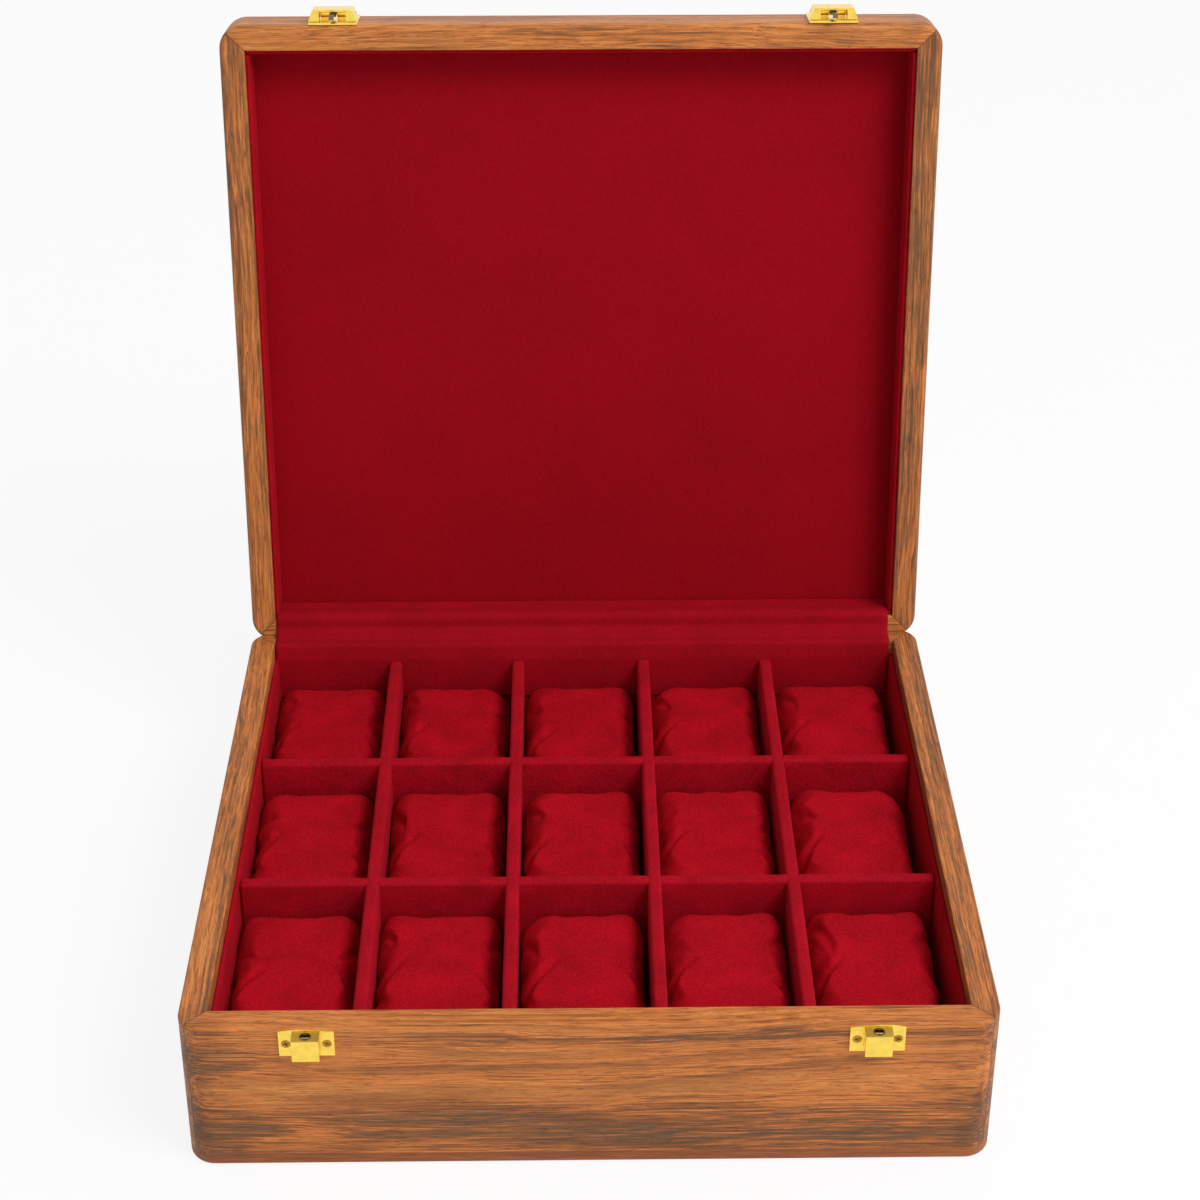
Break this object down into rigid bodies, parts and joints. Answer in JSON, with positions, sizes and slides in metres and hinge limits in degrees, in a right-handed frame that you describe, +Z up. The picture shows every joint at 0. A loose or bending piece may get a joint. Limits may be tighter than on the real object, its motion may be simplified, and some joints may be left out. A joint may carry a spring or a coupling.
{
  "type": "wooden watch box",
  "caption": "Hinged wooden watch box with mitred rounded corners, velvet-lined compartments holding lift-out watch pillows, and two sprung brass catches on the front.",
  "frame": {"origin": "middle of the underside of the base, which stands on the table", "axes": "+Z up, +X to the right as seen from the front, -Y out of the front face with the catches; the lid is stored open"},
  "size_m": [0.356, 0.4044, 0.4064],
  "materials": {
    "rail_wood": "open-grained hardwood with a clear satin finish, straw to orange-brown with grey-brown streaks",
    "board_wood": "the same hardwood, redder, satin",
    "pillow_velvet": "crimson velvet over foam",
    "lining_velvet": "crimson velvet over card",
    "divider_velvet": "crimson velvet over board",
    "strip_velvet": "crimson velvet ribbon",
    "brass": "polished yellow brass",
    "steel": "plain spring steel"
  },
  "bodies": {
    "base": {"base_back_lining": "lining_velvet", "base_back_rail": "rail_wood", "base_bottom_board": "board_wood", "base_floor_lining": "lining_velvet", "base_front_lining": "lining_velvet", "base_front_rail": "rail_wood", "base_left_lining": "lining_velvet", "base_left_rail": "rail_wood", "base_right_lining": "lining_velvet", "base_right_rail": "rail_wood", "cross_divider_front": "divider_velvet", "cross_divider_rear": "divider_velvet", "hinge_base_leaves": "brass", "hinge_base_screws": "brass", "hinge_pins": "brass", "keeper_left": "brass", "keeper_pins": "steel", "keeper_right": "brass", "keeper_screws": "brass", "long_divider_1": "divider_velvet", "long_divider_2": "divider_velvet", "long_divider_3": "divider_velvet", "long_divider_4": "divider_velvet", "velvet_strip": "strip_velvet"},
    "lid": {"catch_pins": "brass", "catch_plate_left": "brass", "catch_plate_right": "brass", "catch_screws": "brass", "catch_springs": "steel", "hinge_lid_leaves": "brass", "hinge_lid_screws": "brass", "lid_back_lining": "lining_velvet", "lid_back_rail": "rail_wood", "lid_front_lining": "lining_velvet", "lid_front_rail": "rail_wood", "lid_left_lining": "lining_velvet", "lid_left_rail": "rail_wood", "lid_panel_lining": "lining_velvet", "lid_right_lining": "lining_velvet", "lid_right_rail": "rail_wood", "lid_top_board": "board_wood"},
    "catch_left": {"catch_lever_left": "brass", "catch_hook_left": "steel"},
    "catch_right": {"catch_lever_right": "brass", "catch_hook_right": "steel"},
    "pillow_1_1": {"pillow_1_1": "pillow_velvet"},
    "pillow_1_2": {"pillow_1_2": "pillow_velvet"},
    "pillow_1_3": {"pillow_1_3": "pillow_velvet"},
    "pillow_1_4": {"pillow_1_4": "pillow_velvet"},
    "pillow_1_5": {"pillow_1_5": "pillow_velvet"},
    "pillow_2_1": {"pillow_2_1": "pillow_velvet"},
    "pillow_2_2": {"pillow_2_2": "pillow_velvet"},
    "pillow_2_3": {"pillow_2_3": "pillow_velvet"},
    "pillow_2_4": {"pillow_2_4": "pillow_velvet"},
    "pillow_2_5": {"pillow_2_5": "pillow_velvet"},
    "pillow_3_1": {"pillow_3_1": "pillow_velvet"},
    "pillow_3_2": {"pillow_3_2": "pillow_velvet"},
    "pillow_3_3": {"pillow_3_3": "pillow_velvet"},
    "pillow_3_4": {"pillow_3_4": "pillow_velvet"},
    "pillow_3_5": {"pillow_3_5": "pillow_velvet"}
  },
  "joints": [
    {"name": "lid_hinge", "type": "hinge", "parent": "base", "child": "lid", "pos_m": [0, 0.1605, 0.078], "axis": [-1, 0, 0], "range_deg": [-98, 0], "deforming": ["velvet_strip"]},
    {"name": "catch_left_hinge", "type": "hinge", "parent": "lid", "child": "catch_left", "pos_m": [-0.1218, 0.21672, 0.40183], "axis": [-1, 0, 0], "range_deg": [0, 35], "stiffness_Nm_per_rad": 0.02, "springref_deg": -17.19},
    {"name": "catch_right_hinge", "type": "hinge", "parent": "lid", "child": "catch_right", "pos_m": [0.1238, 0.21672, 0.40183], "axis": [-1, 0, 0], "range_deg": [0, 35], "stiffness_Nm_per_rad": 0.02, "springref_deg": -17.19},
    {"name": "pillow_1_1_lift", "type": "slide", "parent": "base", "child": "pillow_1_1", "axis": [0, 0, 1], "range_m": [0, 0.07]},
    {"name": "pillow_1_2_lift", "type": "slide", "parent": "base", "child": "pillow_1_2", "axis": [0, 0, 1], "range_m": [0, 0.07]},
    {"name": "pillow_1_3_lift", "type": "slide", "parent": "base", "child": "pillow_1_3", "axis": [0, 0, 1], "range_m": [0, 0.07]},
    {"name": "pillow_1_4_lift", "type": "slide", "parent": "base", "child": "pillow_1_4", "axis": [0, 0, 1], "range_m": [0, 0.07]},
    {"name": "pillow_1_5_lift", "type": "slide", "parent": "base", "child": "pillow_1_5", "axis": [0, 0, 1], "range_m": [0, 0.07]},
    {"name": "pillow_2_1_lift", "type": "slide", "parent": "base", "child": "pillow_2_1", "axis": [0, 0, 1], "range_m": [0, 0.07]},
    {"name": "pillow_2_2_lift", "type": "slide", "parent": "base", "child": "pillow_2_2", "axis": [0, 0, 1], "range_m": [0, 0.07]},
    {"name": "pillow_2_3_lift", "type": "slide", "parent": "base", "child": "pillow_2_3", "axis": [0, 0, 1], "range_m": [0, 0.07]},
    {"name": "pillow_2_4_lift", "type": "slide", "parent": "base", "child": "pillow_2_4", "axis": [0, 0, 1], "range_m": [0, 0.07]},
    {"name": "pillow_2_5_lift", "type": "slide", "parent": "base", "child": "pillow_2_5", "axis": [0, 0, 1], "range_m": [0, 0.07]},
    {"name": "pillow_3_1_lift", "type": "slide", "parent": "base", "child": "pillow_3_1", "axis": [0, 0, 1], "range_m": [0, 0.07]},
    {"name": "pillow_3_2_lift", "type": "slide", "parent": "base", "child": "pillow_3_2", "axis": [0, 0, 1], "range_m": [0, 0.07]},
    {"name": "pillow_3_3_lift", "type": "slide", "parent": "base", "child": "pillow_3_3", "axis": [0, 0, 1], "range_m": [0, 0.07]},
    {"name": "pillow_3_4_lift", "type": "slide", "parent": "base", "child": "pillow_3_4", "axis": [0, 0, 1], "range_m": [0, 0.07]},
    {"name": "pillow_3_5_lift", "type": "slide", "parent": "base", "child": "pillow_3_5", "axis": [0, 0, 1], "range_m": [0, 0.07]}
  ]
}
